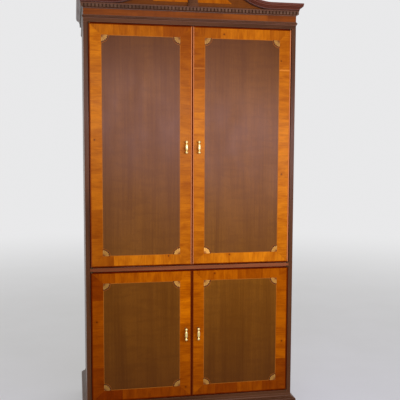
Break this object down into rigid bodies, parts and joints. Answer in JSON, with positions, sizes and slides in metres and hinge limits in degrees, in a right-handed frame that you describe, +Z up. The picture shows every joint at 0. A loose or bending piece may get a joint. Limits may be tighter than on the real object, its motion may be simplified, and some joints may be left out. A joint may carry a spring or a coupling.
{
  "type": "tv armoire",
  "caption": "Tall Georgian-style television armoire with paired inset doors above and below, dentil cornice, swan-neck pediment and bracket feet.",
  "frame": {"origin": "on the floor, at the middle of the footprint's bounding box", "axes": "+Z up; +Y from the doors to the back, so the doors face -Y; +X to the right of someone who faces the doors"},
  "size_m": [1.093, 0.6094, 2.2675],
  "materials": {
    "mahogany": "red-brown mahogany, glossy rubbed polish",
    "yew": "golden yew crossbanding round reddish figured fields, glossy rubbed polish",
    "carcass_wood": "plain brown board, thin satin lacquer",
    "back_board": "stained thin board, nearly matt",
    "brass": "polished, lacquered",
    "bronze": "dark antique bronze, satin"
  },
  "bodies": {
    "case": {"side_left": "mahogany", "side_right": "mahogany", "floor_panel": "mahogany", "mid_deck": "mahogany", "roof_panel": "carcass_wood", "bottom_rail": "mahogany", "frieze_board": "mahogany", "pediment_board": "mahogany", "back_lower": "back_board", "back_upper": "back_board", "shelf_lower": "carcass_wood", "shelf_upper": "carcass_wood", "door_stop_lower": "carcass_wood", "door_stop_upper": "carcass_wood", "base_moulding_front": "mahogany", "astragal_front": "mahogany", "dentil_front": "mahogany", "base_moulding_left": "mahogany", "astragal_left": "mahogany", "dentil_left": "mahogany", "base_moulding_right": "mahogany", "astragal_right": "mahogany", "dentil_right": "mahogany", "crown_left": "mahogany", "scroll_left": "mahogany", "rosette_left": "mahogany", "foot_front_left": "mahogany", "foot_rear_left": "mahogany", "crown_right": "mahogany", "scroll_right": "mahogany", "rosette_right": "mahogany", "foot_front_right": "mahogany", "foot_rear_right": "mahogany", "plinth": "mahogany", "finial": "mahogany", "hinge_case_lower_left_low": "bronze", "hinge_case_lower_left_high": "bronze", "hinge_case_lower_right_low": "bronze", "hinge_case_lower_right_high": "bronze", "hinge_case_upper_left_low": "bronze", "hinge_case_upper_left_high": "bronze", "hinge_case_upper_right_low": "bronze", "hinge_case_upper_right_high": "bronze"},
    "lower_door_left": {"door_lower_left": "yew", "pull_lower_left": "brass", "hinge_door_lower_left_low": "bronze", "hinge_door_lower_left_high": "bronze"},
    "lower_door_right": {"door_lower_right": "yew", "pull_lower_right": "brass", "hinge_door_lower_right_low": "bronze", "hinge_door_lower_right_high": "bronze"},
    "upper_door_left": {"door_upper_left": "yew", "pull_upper_left": "brass", "hinge_door_upper_left_low": "bronze", "hinge_door_upper_left_high": "bronze"},
    "upper_door_right": {"door_upper_right": "yew", "pull_upper_right": "brass", "hinge_door_upper_right_low": "bronze", "hinge_door_upper_right_high": "bronze"}
  },
  "joints": [
    {"name": "lower_door_left_swing", "type": "hinge", "parent": "case", "child": "lower_door_left", "pos_m": [-0.4892, -0.27375, 0.4725], "axis": [0, 0, -1], "range_deg": [0, 145]},
    {"name": "lower_door_right_swing", "type": "hinge", "parent": "case", "child": "lower_door_right", "pos_m": [0.4892, -0.27375, 0.4725], "axis": [0, 0, 1], "range_deg": [0, 145]},
    {"name": "upper_door_left_swing", "type": "hinge", "parent": "case", "child": "upper_door_left", "pos_m": [-0.4892, -0.27375, 1.39625], "axis": [0, 0, -1], "range_deg": [0, 145]},
    {"name": "upper_door_right_swing", "type": "hinge", "parent": "case", "child": "upper_door_right", "pos_m": [0.4892, -0.27375, 1.39625], "axis": [0, 0, 1], "range_deg": [0, 145]}
  ]
}
